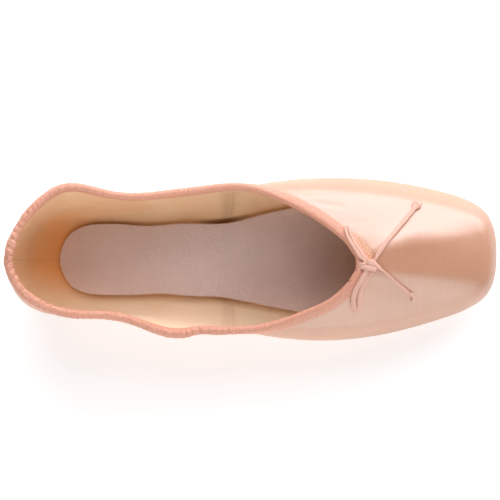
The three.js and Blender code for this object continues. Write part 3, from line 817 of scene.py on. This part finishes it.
def make_tape(name, path, ups, half_width, half_thick, hollow=0, ragged=0.0):
    """A flat cord: an oval section carried along a path, its flat sides facing up, closed at both ends. The
    last end can be hollow, so many steps deep, with a ragged rim."""
    ahead = unit(np.gradient(path, axis=0))
    side = unit(np.cross(ups, ahead))
    up = np.cross(ahead, side)
    turns = np.linspace(0, 2 * np.pi, CORD_SIDES, endpoint=False)
    flat = np.sign(np.cos(turns)) * np.abs(np.cos(turns)) ** 0.85
    tall = np.sign(np.sin(turns)) * np.abs(np.sin(turns)) ** 0.85
    rings = (path[:, None] + (half_width[:, None] * flat)[..., None] * side[:, None]
             + (half_thick[:, None] * tall)[..., None] * up[:, None])
    rings[-1] += (ragged * np.sin(3 * turns + 1))[:, None] * ahead[-1]
    first, last = (np.broadcast_to(spot, (1, CORD_SIDES, 3)) for spot in (path[0], path[-1 - hollow]))
    rings = np.concatenate([first, rings, last])
    run = np.pad(lengths_along(path), 1, mode="edge")
    across = np.linspace(0, 2 * (CORD_WIDTH + CORD_THICKNESS), CORD_SIDES + 1)
    chart = np.stack(np.meshgrid(run, across, indexing="ij"), axis=-1)
    return merged(grid_mesh(name, rings, {"cloth": chart}, ring_close=False))


def make_cord(side, trees):
    """One end of the drawstring: from the casing round its loop, under the knot and out to its cut end. The
    left loop is narrow and its end wider, splayed and hollow. The right loop lies flat and wide, and its end
    is narrow, with a small knot and a rounded fray."""
    plan = open_curve(CORD_ROUTES[side], CORD_STEP) + THROAT[:2]
    path, ups = laid_on(trees, plan, CORD_WIDTH / 2, CORD_THICKNESS / 2, CORD_CLEAR)
    reached = lengths_along(path)
    path[:, 2] -= SUNK_DEPTH * (1 - smooth(reached / SUNK_LENGTH))
    left_over = reached[-1] - reached
    if side == "left":
        at_end = smooth(1 - (left_over - LEFT_END) / LEFT_PASSES)
        flare = smooth(1 - left_over / 4.5)
        width = (0.80 + 0.25 * at_end) * (1 + 1.2 * flare)
        thick = (0.60 - 0.10 * at_end) * (1 + 0.7 * flare)
        rim = {"hollow": 5, "ragged": 0.5}
    else:
        at_end = smooth(1 - (left_over - RIGHT_END) / RIGHT_PASSES)
        knot = bell(left_over - 4.2, 0.9)
        fray = smooth(1 - left_over / 1.8)
        rounded = np.sqrt(np.clip(left_over / 0.9, 0.05, 1))
        width = (1.40 - 0.83 * at_end) * (1 + 1.0 * knot + 0.6 * fray) * rounded
        thick = (0.60 - 0.08 * at_end) * (1 + 0.8 * knot) * rounded
        rim = {}
    width = width * (1 + 0.05 * np.sin(reached / 1.9) * np.sin(reached / 0.83 + 1))
    return make_tape("drawstring_" + side, path, ups, width, thick, **rim), path


def make_knot(trees):
    """The knot: nearly two turns of the same flat cord round the strands of the bow, from the throat towards
    the toe, as an oval helix that crosses the shoe and grows longer on the way."""
    share = np.linspace(0, 1, 150)
    turn = (3.6 * share - 0.8) * np.pi
    middle = np.array([THROAT[0] + KNOT_AHEAD, THROAT[1]])
    ground = height_over(trees, *middle)
    reach = 1.9 + 1.3 * share
    path = np.column_stack([0.9 - 1.6 * share + reach * np.sin(turn), 1.9 - 4.4 * share, 1.2 * np.cos(turn)])
    path = path + np.array([middle[0], middle[1], ground + 1.75])
    away = unit(np.column_stack([1.2 * np.sin(turn), 0 * turn, reach * np.cos(turn)]))
    half_width = (1.45 - 0.35 * share) * np.minimum(1, 0.35 + 6 * np.minimum(share, 1 - share))
    return make_tape("bow_knot", path, away, half_width, np.full(len(path), 0.5))


# --- Finishes ---

def math_method(operation, turned=False):
    """A method of Value that adds a Math node, with its numbers turned round if asked."""

    def method(self, *others):
        numbers = (*others, self) if turned else (self, *others)
        return self.finish.value("ShaderNodeMath", {"operation": operation}, dict(enumerate(numbers)))

    return method


class Value:
    """A number that varies over a surface. Arithmetic on it adds Math nodes to its finish."""

    def __init__(self, finish, socket):
        self.finish = finish
        self.socket = socket

    __add__, __radd__ = math_method("ADD"), math_method("ADD", turned=True)
    __sub__, __rsub__ = math_method("SUBTRACT"), math_method("SUBTRACT", turned=True)
    __mul__, __rmul__ = math_method("MULTIPLY"), math_method("MULTIPLY", turned=True)
    __abs__ = math_method("ABSOLUTE")
    sine = math_method("SINE")
    most = math_method("MAXIMUM")
    repeat = math_method("FLOORED_MODULO")  # what is left over the last whole length

    def near(self, middle, width):
        """1 at the middle, falling smoothly to 0 at the width on both sides."""
        return self.between(middle - width, middle) * (1 - self.between(middle, middle + width))

    def between(self, low, high):
        """0 below low, 1 above high, and an S-curve between them."""
        return self.finish.value("ShaderNodeMapRange", {"interpolation_type": "SMOOTHSTEP", "clamp": True},
                                 {"Value": self, "From Min": low, "From Max": high})


class Finish:
    """A material with one Principled shader, built from nodes. Constants go straight on the shader."""

    def __init__(self, name, constants):
        self.material = bpy.data.materials.new(name)
        self.material.use_nodes = True
        self.tree = self.material.node_tree
        self.shader = self.tree.nodes["Principled BSDF"]
        for socket, value in constants.items():
            self.shader.inputs[socket].default_value = value

    def node(self, kind, settings, sockets):
        """Any node: its type, its settings, and its sockets' values or links."""
        made = self.tree.nodes.new(kind)
        for name, value in settings.items():
            setattr(made, name, value)
        for key, value in sockets.items():
            self.join(value, made.inputs[key])
        return made

    def value(self, kind, settings, sockets, output=0):
        """A node's output as a Value."""
        return Value(self, self.node(kind, settings, sockets).outputs[output])

    def join(self, value, socket):
        """A Value or another socket linked to the socket, or a constant set on it."""
        value = value.socket if isinstance(value, Value) else value
        if isinstance(value, bpy.types.NodeSocket):
            self.tree.links.new(value, socket)
        else:
            socket.default_value = value

    def parts(self, place, axes):
        """The parts of a place along the axes, in millimetres."""
        spread = self.node("ShaderNodeSeparateXYZ", {}, {"Vector": place})
        return [Value(self, spread.outputs[axis]) * 1000 for axis in axes]

    def cloth_place(self, chart_name="cloth"):
        """The two distances of a chart: round the shoe, and up the rib or down from the collar."""
        return self.parts(self.node("ShaderNodeUVMap", {"uv_map": chart_name}, {}).outputs["UV"], "XY")

    def object_place(self):
        """The three Object coordinates."""
        return self.parts(self.node("ShaderNodeTexCoord", {}, {}).outputs["Object"], "XYZ")

    def texture(self, kind, place, sockets, output):
        """A texture's value at a place given by its parts, at a scale of 1."""
        spot = self.node("ShaderNodeCombineXYZ", {}, dict(zip("XYZ", place)))
        return self.value(kind, {}, {"Vector": spot.outputs[0], "Scale": 1.0, **sockets}, output)

    def noise(self, x, y, z, detail=3.0, roughness=0.5):
        """Cloudy noise from 0 to 1 that changes over a distance of about 1 in x, y and z."""
        depth = {"Detail": detail, "Roughness": roughness}
        return self.texture("ShaderNodeTexNoise", (x, y, z), depth, "Fac")

    def cells(self, x, y):
        """Distance from the nearest of scattered points about 1 apart."""
        return self.texture("ShaderNodeTexVoronoi", (x, y), {}, "Distance")

    def mixed(self, share, low, high):
        """A colour between two colours (or colour sockets), by a share."""
        return self.node("ShaderNodeMix", {"data_type": "RGBA"}, {0: share, 6: low, 7: high}).outputs[2]

    def layered(self, color, *layers):
        """The colour with others laid over it in turn, each by its share."""
        for share, over in layers:
            color = self.mixed(share, color, over)
        return color

    def dress(self, color, roughness, height=None, depth=0.0):
        """Colour and roughness on the shader, and a relief of so many millimetres as a bump."""
        self.join(color, self.shader.inputs["Base Color"])
        self.join(roughness, self.shader.inputs["Roughness"])
        if height is not None:
            relief = {"Height": height, "Distance": depth * MM, "Strength": 1.0}
            bump = self.node("ShaderNodeBump", {}, relief)
            self.join(bump.outputs["Normal"], self.shader.inputs["Normal"])
        return self.material


def tint(red, green, blue):
    """A colour in linear light, with its alpha."""
    return (red, green, blue, 1.0)


LEFT_SEAM, RIGHT_SEAM = map(float, run_at(RUN_ON_GIRTH, [SIDE_SEAM_PLACE, 1 - SIDE_SEAM_PLACE]))
WHOLE_RUN = float(RUN_ON_GIRTH[-1])
SEAM_WIDTH = 0.5


def back_seam(run, width):
    """1 on the back seam, which the chart's two ends share."""
    return run.near(0.0, width).most(run.near(WHOLE_RUN, width))


def seam_lines(run):
    """1 on the seams of the upper: both side seams and the back seam."""
    sides = run.near(LEFT_SEAM, SEAM_WIDTH).most(run.near(RIGHT_SEAM, SEAM_WIDTH))
    return sides.most(back_seam(run, SEAM_WIDTH))


def satin_finish():
    """Peach satin: fine floats of thread that run round the shoe, slight clouds and bars in the tone, sunk
    seams, and painted shade, a darker tone low on the right side and low on the toe. The strip that its
    turned edge leaves bare shows canvas with whipped stitches."""
    finish = Finish("peach_satin", {"IOR": 2.4})
    run, up = finish.cloth_place()
    collar_run, down = finish.cloth_place("collar")
    x, y, z = finish.object_place()
    floats = finish.noise(run * 0.9, up * 7.0, 0.0, detail=2.0)
    weave = finish.noise(run * 7.0, up * 1.1, 3.0, detail=1.0)
    slubs = finish.noise(x * 0.10, y * 0.75, z * 0.75, detail=2.0)
    bars = finish.noise(x * 0.55, y * 0.05, z * 0.05, detail=3.0)
    clouds = finish.noise(x * 0.035, y * 0.035, z * 0.035, detail=4.0)
    seams = seam_lines(run)
    tone = (floats - 0.5) * 0.14 + (clouds - 0.5) * 0.5 + (weave - 0.5) * 0.08 + (slubs - 0.5) * 0.45 + 0.5
    tone += (bars - 0.5) * 0.4

    bare_middle = float(run_at(RUN_ON_EDGE, BARE_PLACE))
    width = collar_run.near(bare_middle, BARE_REACH) * BARE_WIDTH
    bare = 1 - (down - width).between(BARE_FROM - 0.08, BARE_FROM + 0.08)
    specks = ((collar_run * 3.9).sine() * (down * 3.9).sine()).between(-0.1, 0.7)
    specks = specks * finish.noise(x * 1.6, y * 1.6, z * 1.6 + 9).between(0.38, 0.58)
    canvas = finish.mixed(finish.noise(x * 1.8, y * 1.8, z), tint(0.80, 0.38, 0.20), tint(0.95, 0.58, 0.37))
    # Painted shade: the satin darkened low on the right side and low round the toe, where less light falls.
    shaded_low_side = (1 - up.between(20, 32)) * (x.between(25, 60) + (1 - x.between(-90, -70)))
    shaded_low_side = shaded_low_side * (1 - y.between(-22, -8))
    shaded_low_toe = (1 - up.between(20, 34)) * x.between(98, 110)
    color = finish.layered(
        finish.mixed(tone, tint(0.565, 0.252, 0.130), tint(0.725, 0.358, 0.203)),
        (seams * 0.45, tint(0.46, 0.19, 0.105)),
        # painted shade low on the right side and the toe
        (shaded_low_side.most(shaded_low_toe) * 0.45, tint(0.42, 0.18, 0.09)),
        (bare, finish.mixed(specks * 0.8, canvas, tint(0.50, 0.19, 0.07))))
    roughness = 0.40 + (floats - 0.5) * 0.16 + (weave - 0.5) * 0.08 + (slubs - 0.5) * 0.10 + bare * 0.45
    height = floats * 0.35 + weave * 0.25 - seams * 4.0 + specks * bare * 3.0
    return finish.dress(color, roughness, height, 0.035)


def lining_finish():
    """Unbleached cotton drill: a visible weave, faint stains, stitched side seams with their turnings and
    painted shade beside them, painted warm bounce light low at the heel, painted light that makes the right
    side paler and greyer, and a painted shadow along the foot."""
    finish = Finish("cotton_lining", {"Specular IOR Level": 0.25, "Sheen Weight": 0.1})
    run, up = finish.cloth_place()
    x, y, z = finish.object_place()
    threads = (run * 7.5).sine() * (up * 7.5).sine()
    fuzz = finish.noise(run * 2.2, up * 2.2, 0.0, detail=3.0)
    stains = finish.noise(x * 0.05, y * 0.05, z * 0.05 + 4, detail=3.0)
    seams = seam_lines(run)
    sides = run.near(LEFT_SEAM, 0.45) + run.near(RIGHT_SEAM, 0.45)
    turning = run.near(LEFT_SEAM - 3.4, 1.3) + run.near(RIGHT_SEAM + 3.4, 1.3)
    # Painted shade beside the side seams, where their turnings stand up from the cloth.
    seam_shade = run.near(LEFT_SEAM - 2.0, 6.5) + 0.5 * run.near(RIGHT_SEAM + 2.0, 5.5)
    back = back_seam(run, 0.35)
    stitch = (up * 2.4).sine().between(-0.3, 0.6) * sides
    foot = 1 - up.between(-2.7, -0.6)
    # Painted shadow: the lining's foot darkened where it stands off the sock, strongest at these spots.
    gap_shade_spots = x.near(-15, 22).most(x.near(-70, 34) * 0.8).most(0.3) * y.between(-10, 5).most(0.5)
    specks = finish.noise(run * 1.1, up * 1.1, 7.0, detail=4.0, roughness=0.7).between(0.58, 0.72)
    # Painted light: the warm orange of light bounced round low inside the heel cup.
    painted_bounce_light = (1 - x.between(-104, -62)) * (1 - up.between(0, 24)) * y.between(-26, -2)
    color = finish.layered(
        finish.mixed(stains.between(0.3, 0.7), tint(0.92, 0.61, 0.37), tint(0.96, 0.70, 0.45)),
        # painted warm bounce light low in the heel
        (painted_bounce_light * 0.95, tint(0.97, 0.475, 0.17)),
        (specks * (1 - x.between(-95, -20)) * 0.30, tint(0.60, 0.30, 0.14)),
        # painted light: the lining on the right side made paler and greyer, as it faces the strong lamps on
        # the left
        ((1 - y.between(-34, -4)) * 0.55, tint(0.80, 0.68, 0.52)),
        ((fuzz - 0.42) * 0.7, tint(0.55, 0.33, 0.18)),
        # painted shade beside the side seams
        (seam_shade * (1 - up.between(10, 34) * 0.6) * 0.34, tint(0.47, 0.25, 0.12)),
        (turning * 0.05 + sides * 0.08, tint(0.40, 0.26, 0.16)),
        (stitch * 0.24 + back * 0.22, tint(0.36, 0.20, 0.10)),
        # painted shadow along the lining's foot
        (foot * gap_shade_spots * 0.9, tint(0.17, 0.065, 0.025)))
    height = threads * 0.35 + fuzz * 1.1 - seams * 1.4 + turning * 0.35
    return finish.dress(color, 0.85 - fuzz * 0.08, height, 0.09)


def casing_finish():
    """Cotton tape: fine slanting ribs, a clouded tone and a row of stitches along its edge on the satin."""
    finish = Finish("casing_cotton", {"IOR": 1.75, "Sheen Weight": 0.2, "Sheen Roughness": 0.4})
    run, up = finish.cloth_place()
    ribs = (run * 6.6 + up * 4.8).sine()
    fuzz = finish.noise(run * 1.9, up * 0.6, 0.0, detail=3.0, roughness=0.65)
    stitches = (run * 2.9).sine().between(0.1, 0.5) * up.near(0.95, 0.32)
    color = finish.layered(
        finish.mixed(fuzz.between(0.34, 0.66), tint(0.75, 0.315, 0.19), tint(0.865, 0.435, 0.30)),
        ((ribs + 1) * 0.12, tint(0.56, 0.21, 0.12)),
        (stitches * 0.5, tint(0.88, 0.62, 0.50)))
    height = ribs * 0.6 + fuzz * 0.5 + stitches * 1.4
    return finish.dress(color, 0.52, height, 0.07)


def sock_finish():
    """Mauve-grey sock cloth: close soft dots in a grid, slight clouds in the tone and a pale nap."""
    finish = Finish("sock_cloth", {"Specular IOR Level": 0.2, "Sheen Weight": 0.1})
    x, y, z = finish.object_place()
    dots = ((x + y * 0.06) * 5.2).sine() * ((y - x * 0.06) * 5.2).sine()
    fuzz = finish.noise(x * 2.1, y * 2.1, z, detail=3.0, roughness=0.75)
    clouds = finish.noise(x * 0.04, y * 0.04, 1.0, detail=2.0)
    color = finish.layered(
        finish.mixed(clouds.between(0.3, 0.7), tint(0.72, 0.55, 0.505), tint(0.80, 0.62, 0.575)),
        ((dots * 0.5 + 0.5) * 0.45 + fuzz.between(0.30, 0.55) * -0.15 + 0.1, tint(0.44, 0.31, 0.27)),
        (fuzz.between(0.40, 0.68) * 0.6, tint(0.93, 0.78, 0.73)))
    height = dots * 0.5 + fuzz * 1.2
    return finish.dress(color, 0.92, height, 0.08)


def leather_finish():
    """Sole leather: buffed suede with a nap drawn out along the foot, and fine dark pores."""
    finish = Finish("sole_leather", {"Specular IOR Level": 0.35})
    x, y, z = finish.object_place()
    pores = finish.cells(x * 1.5, y * 1.5)
    nap = finish.noise(x * 0.9, y * 2.6, z, detail=5.0, roughness=0.65)
    clouds = finish.noise(x * 0.03, y * 0.05, 2.0, detail=3.0)
    color = finish.layered(
        finish.mixed(clouds.between(0.25, 0.75), tint(0.42, 0.25, 0.14), tint(0.53, 0.345, 0.21)),
        (nap.between(0.5, 0.8) * 0.4, tint(0.62, 0.44, 0.29)),
        ((1 - pores.between(0.0, 0.25)) * 0.25, tint(0.25, 0.14, 0.075)))
    height = nap * 1.2 + pores * 0.6
    return finish.dress(color, 0.72 + (nap - 0.5) * 0.2, height, 0.10)


def cord_finish():
    """Flat braided cotton: slanting strands that meet along the middle."""
    finish = Finish("cord_cotton", {"Specular IOR Level": 0.3, "Sheen Weight": 0.3, "Sheen Roughness": 0.4})
    run, across = finish.cloth_place()
    lean = abs(across.repeat(3.2) - 1.6)
    strands = (run * 6.5 + lean * 5.0).sine()
    fuzz = finish.noise(run * 2.5, across * 2.5, 0.0, detail=4.0)
    color = finish.mixed(fuzz.between(0.25, 0.75), tint(0.86, 0.48, 0.36), tint(0.95, 0.62, 0.50))
    color = finish.mixed((1 - strands) * 0.07, color, tint(0.58, 0.25, 0.17))
    height = strands * 0.7 + fuzz * 0.6
    return finish.dress(color, 0.8, height, 0.08)


# --- Camera, floor and light ---

CAMERA_HEIGHT = 1.2
SENSOR = 36.0
PIXELS_PER_MM = 2.081  # on the floor
PHOTO_WIDTH = 500
VIEW_MIDDLE = (-1.9, 4.5)  # the point of the floor at the middle of the picture
FLOOR_REACH = 3.0

COOL, WHITE = (0.98, 0.95, 1.0), (1.0, 1.0, 1.0)
ROOM_LIGHT = 0.12
LAMPS_AIM = Vector((0.02, 0.0, 0.03))
# The place and size of each lamp in metres, its watts and its colour.
LAMPS = {
    "left_softbox": ((0.25, 1.1, 0.52), (2.1, 0.8), 22, COOL),
    "left_high_softbox": ((0.0, 0.9, 1.2), (1.6, 0.6), 5.5, COOL),
    "right_wall": ((0.0, -1.3, 0.6), (2.2, 1.0), 12.5, WHITE),
    "right_high_softbox": ((0.0, -0.9, 1.2), (1.6, 0.6), 4.5, WHITE),
    "toe_wall": ((1.5, 0.0, 0.6), (1.6, 0.8), 1.2, WHITE),
}


def make_camera():
    """A camera straight over the shoe, with its toe to the right."""
    lens = bpy.data.cameras.new("photo_camera")
    lens.sensor_width = SENSOR
    lens.lens = PIXELS_PER_MM / MM * CAMERA_HEIGHT * SENSOR / PHOTO_WIDTH
    lens.clip_end = 20
    camera = bpy.data.objects.new("photo_camera", lens)
    camera.location = (VIEW_MIDDLE[0] * MM, VIEW_MIDDLE[1] * MM, CAMERA_HEIGHT)
    bpy.context.scene.collection.objects.link(camera)
    bpy.context.scene.camera = camera


def softbox(name, place, size, watts, color):
    """A rectangular lamp at a place, aimed at the middle of the shoe."""
    lamp = bpy.data.lights.new(name, "AREA")
    lamp.shape = "RECTANGLE"
    lamp.size, lamp.size_y = size
    lamp.energy = watts
    lamp.color = color
    stand = bpy.data.objects.new(name, lamp)
    stand.location = place
    stand.rotation_euler = (LAMPS_AIM - Vector(place)).to_track_quat("-Z", "Y").to_euler()
    bpy.context.scene.collection.objects.link(stand)


def make_floor():
    """A plain white sheet of card whose face glows as painted light, most on the left of the shoe."""
    mesh = bpy.data.meshes.new("floor")
    corners = ((-1, -1), (1, -1), (1, 1), (-1, 1))
    mesh.from_pydata([(x * FLOOR_REACH, y * FLOOR_REACH, 0) for x, y in corners], [], [(0, 1, 2, 3)])
    floor = bpy.data.objects.new("floor", mesh)
    bpy.context.scene.collection.objects.link(floor)
    finish = Finish("white_card", {"Specular IOR Level": 0.1, "Emission Strength": 1.0})
    x, y = finish.object_place()[:2]
    card = finish.mixed(finish.noise(x * 0.01, y * 0.01, 0.0), tint(0.90, 0.90, 0.90), tint(0.93, 0.93, 0.93))
    # Painted light: the card glows, brighter on the left of the shoe, though it is no lamp.
    left = y.between(10, 60) * (1 - y.between(150, 260))
    glow = finish.mixed(left, tint(0.40, 0.40, 0.40), tint(0.63, 0.63, 0.63))
    finish.join(glow, finish.shader.inputs["Emission Color"])
    mesh.materials.append(finish.dress(card, 0.9))


def make_light():
    """Large soft lamps low on both sides of the shoe, the left ones stronger, and a dim room, so that what
    faces straight up has no gloss."""
    for name, lamp in LAMPS.items():
        softbox(name, *lamp)
    world = bpy.data.worlds.new("room")
    world.use_nodes = True
    background = world.node_tree.nodes["Background"].inputs
    background["Color"].default_value = tint(*WHITE)
    background["Strength"].default_value = ROOM_LIGHT
    bpy.context.scene.world = world
    bpy.context.scene.view_settings.view_transform = "Standard"


# --- Assembly ---

def fit(piece, nodes, slot, *finishes):
    """A piece that stands for CAD nodes: it rides on the shoe and takes its finishes. The slot is not used.
    """
    for finish in finishes:
        piece.data.materials.append(finish)
    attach(piece, "root")
    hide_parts(*nodes)


make_camera()
satin_upper = make_upper()
casing = make_casing()
under_the_bow = surface_of(satin_upper, casing)
left_cord, left_path = make_cord("left", under_the_bow)
right_cord, right_path = make_cord("right", under_the_bow)
knot = make_knot(under_the_bow)

cord_cotton = cord_finish()
fit(satin_upper, ["upper"], "satin", satin_finish(), lining_finish())
fit(casing, ["collar_binding"], "binding_cotton", casing_finish())
fit(make_insole(), ["insole"], "sock_cloth", sock_finish())
fit(make_outsole(), ["outsole"], "sole_leather", leather_finish())
fit(left_cord, ["drawstring_loop_left", "drawstring_end_left"], "cord_cotton", cord_cotton)
fit(right_cord, ["drawstring_loop_right", "drawstring_end_right"], "cord_cotton", cord_cotton)
fit(knot, ["drawstring_knot"], "cord_cotton", cord_cotton)

make_floor()
make_light()
